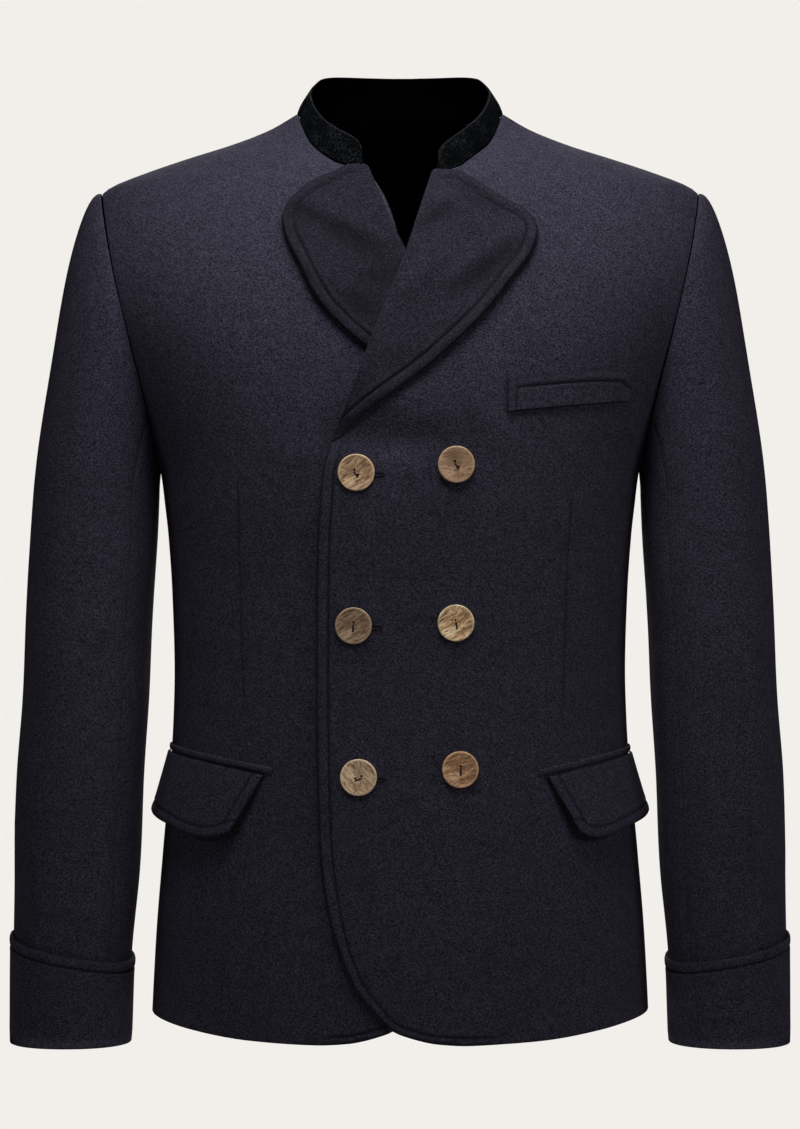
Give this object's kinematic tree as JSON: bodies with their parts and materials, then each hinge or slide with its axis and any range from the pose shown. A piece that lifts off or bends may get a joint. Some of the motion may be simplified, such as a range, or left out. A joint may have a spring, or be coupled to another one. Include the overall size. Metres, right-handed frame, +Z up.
{
  "type": "double-breasted wool trachten jacket",
  "caption": "Hollow worn form of a hip-length double-breasted wool jacket with a velvet stand collar, wide rounded lapels, slanted hip flaps, chest welt, cuff bands and wooden buttons.",
  "frame": {"origin": "between the shoulders in the plane of the shoulder seams, at the height where the collar meets them, where the wearer holds the jacket up", "axes": "+Z up, the front faces -Y, +X is the wearer's left"},
  "size_m": [0.595, 0.2614, 0.7465],
  "materials": {
    "wool": "fulled melton wool with a soft nap",
    "velvet": "black cotton velvet",
    "wood": "sanded wood with a thin clear coat"
  },
  "bodies": {
    "root": {"front_left": "wool", "front_right": "wool", "back_left": "wool", "back_right": "wool", "lapel_left": "wool", "lapel_right": "wool", "collar": "velvet", "sleeve_top_left": "wool", "sleeve_under_left": "wool", "cuff_left": "wool", "sleeve_top_right": "wool", "sleeve_under_right": "wool", "cuff_right": "wool", "flap_left": "wool", "flap_right": "wool", "pocket_jet_left": "wool", "pocket_jet_right": "wool", "chest_welt": "wool", "button_edge_top": "wood", "button_edge_middle": "wood", "button_edge_bottom": "wood", "button_inner_top": "wood", "button_inner_middle": "wood", "button_inner_bottom": "wood"}
  },
  "joints": []
}
